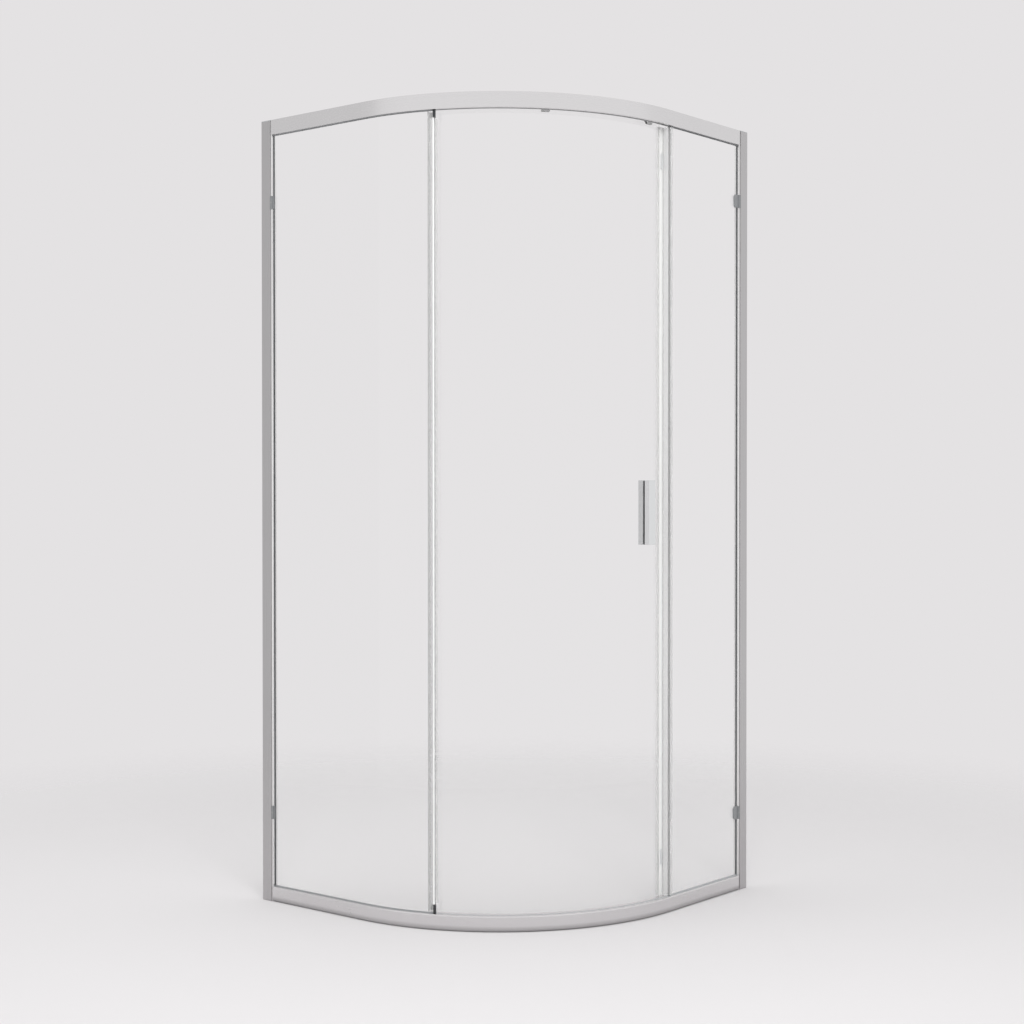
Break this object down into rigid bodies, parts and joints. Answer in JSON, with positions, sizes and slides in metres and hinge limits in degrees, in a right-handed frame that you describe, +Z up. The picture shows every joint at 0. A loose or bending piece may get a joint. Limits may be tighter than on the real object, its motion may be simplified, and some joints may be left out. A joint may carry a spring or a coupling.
{
  "type": "quadrant shower enclosure",
  "caption": "Quadrant shower enclosure: aluminium frame on two wall profiles, quarter-circle front with bent and flat fixed glass and a curved glass door that slides on rollers.",
  "frame": {"origin": "on the floor, in the middle of the square that the enclosure fills", "axes": "+Z up. The left wall is the plane x = -0.4375 and the right wall the plane y = +0.4375, so they meet at (-0.4375, +0.4375) and the curved front bulges towards +X and -Y. +X runs along the right wall, away from the corner of the room"},
  "size_m": [0.875, 0.875, 1.95],
  "materials": {
    "aluminium": "bright silver, satin",
    "glass": "clear, toughened",
    "clear_seal": "clear, soft",
    "white_plastic": "white, smooth",
    "magnet_strip": "white, matt",
    "gasket_grey": "grey, matt",
    "grey_plastic": "light grey, smooth",
    "dark_plastic": "near black, matt",
    "rubber": "black, matt",
    "steel": "stainless, turned",
    "cast_block": "as cast",
    "chrome": "polished",
    "wheel_plastic": "white, moulded"
  },
  "bodies": {
    "frame": {"wall_profile_left": "aluminium", "wall_profile_right": "aluminium", "post_left": "aluminium", "post_right": "aluminium", "post_screws_left": "steel", "post_screws_right": "steel", "post_screw_caps": "white_plastic", "top_cap_left": "grey_plastic", "top_cap_right": "grey_plastic", "upper_rail": "aluminium", "lower_rail": "aluminium", "rail_connector_upper_left": "cast_block", "rail_connector_upper_right": "cast_block", "rail_connector_lower_left": "cast_block", "rail_connector_lower_right": "cast_block", "rail_screws": "steel", "fixed_glass_left": "glass", "fixed_glass_right": "glass", "post_gasket_left": "gasket_grey", "post_gasket_right": "gasket_grey", "upper_gasket_left": "gasket_grey", "upper_gasket_right": "gasket_grey", "lower_gasket_left": "gasket_grey", "lower_gasket_right": "gasket_grey", "upper_infill": "grey_plastic", "lower_infill": "grey_plastic", "glass_clips": "grey_plastic", "clip_screws": "steel", "glass_holder_upper": "dark_plastic", "glass_holder_lower": "dark_plastic", "edge_seal": "clear_seal", "strike_profile": "clear_seal", "strike_magnet": "magnet_strip", "door_stop_open": "rubber", "door_stop_closed": "rubber"},
    "door": {"door_glass": "glass", "trailing_seal": "clear_seal", "closing_seal": "white_plastic", "closing_magnet": "magnet_strip", "closing_buffers": "grey_plastic", "bottom_seal": "clear_seal", "roller_carrier_left": "chrome", "roller_carrier_right": "chrome", "roller_axles": "steel", "roller_bolts": "steel", "roller_caps": "chrome", "guide_shoe_left": "grey_plastic", "guide_shoe_right": "grey_plastic", "guide_pins": "steel", "handle_outer": "chrome", "handle_inner": "chrome", "handle_pads": "dark_plastic", "handle_studs": "steel"},
    "roller_wheel_left": {"roller_wheel_left": "wheel_plastic"},
    "roller_wheel_right": {"roller_wheel_right": "wheel_plastic"},
    "guide_wheel_left": {"guide_wheel_left": "wheel_plastic"},
    "guide_wheel_right": {"guide_wheel_right": "wheel_plastic"}
  },
  "joints": [
    {"name": "door_slide", "type": "hinge", "parent": "frame", "child": "door", "pos_m": [-0.0875, 0.0875, 0.975], "axis": [0, 0, -1], "range_deg": [0, 48]},
    {"name": "roller_spin_left", "type": "hinge", "parent": "door", "child": "roller_wheel_left", "pos_m": [0.30615, -0.22562, 1.9313], "axis": [0.7826, -0.6225, 0], "continuous": true},
    {"name": "roller_spin_right", "type": "hinge", "parent": "door", "child": "roller_wheel_right", "pos_m": [0.41359, 0.04366, 1.9313], "axis": [0.9962, -0.0872, 0], "continuous": true},
    {"name": "guide_spin_left", "type": "hinge", "parent": "door", "child": "guide_wheel_left", "pos_m": [0.2966, -0.21803, 0.006], "axis": [0, 0, 1], "continuous": true},
    {"name": "guide_spin_right", "type": "hinge", "parent": "door", "child": "guide_wheel_right", "pos_m": [0.40143, 0.04472, 0.006], "axis": [0, 0, 1], "continuous": true}
  ],
  "couplings": [
    {"joint": "roller_spin_left", "follows": "door_slide", "ratio": 62.875},
    {"joint": "roller_spin_right", "follows": "door_slide", "ratio": 62.875},
    {"joint": "guide_spin_left", "follows": "door_slide", "ratio": 84.237},
    {"joint": "guide_spin_right", "follows": "door_slide", "ratio": 84.237}
  ]
}
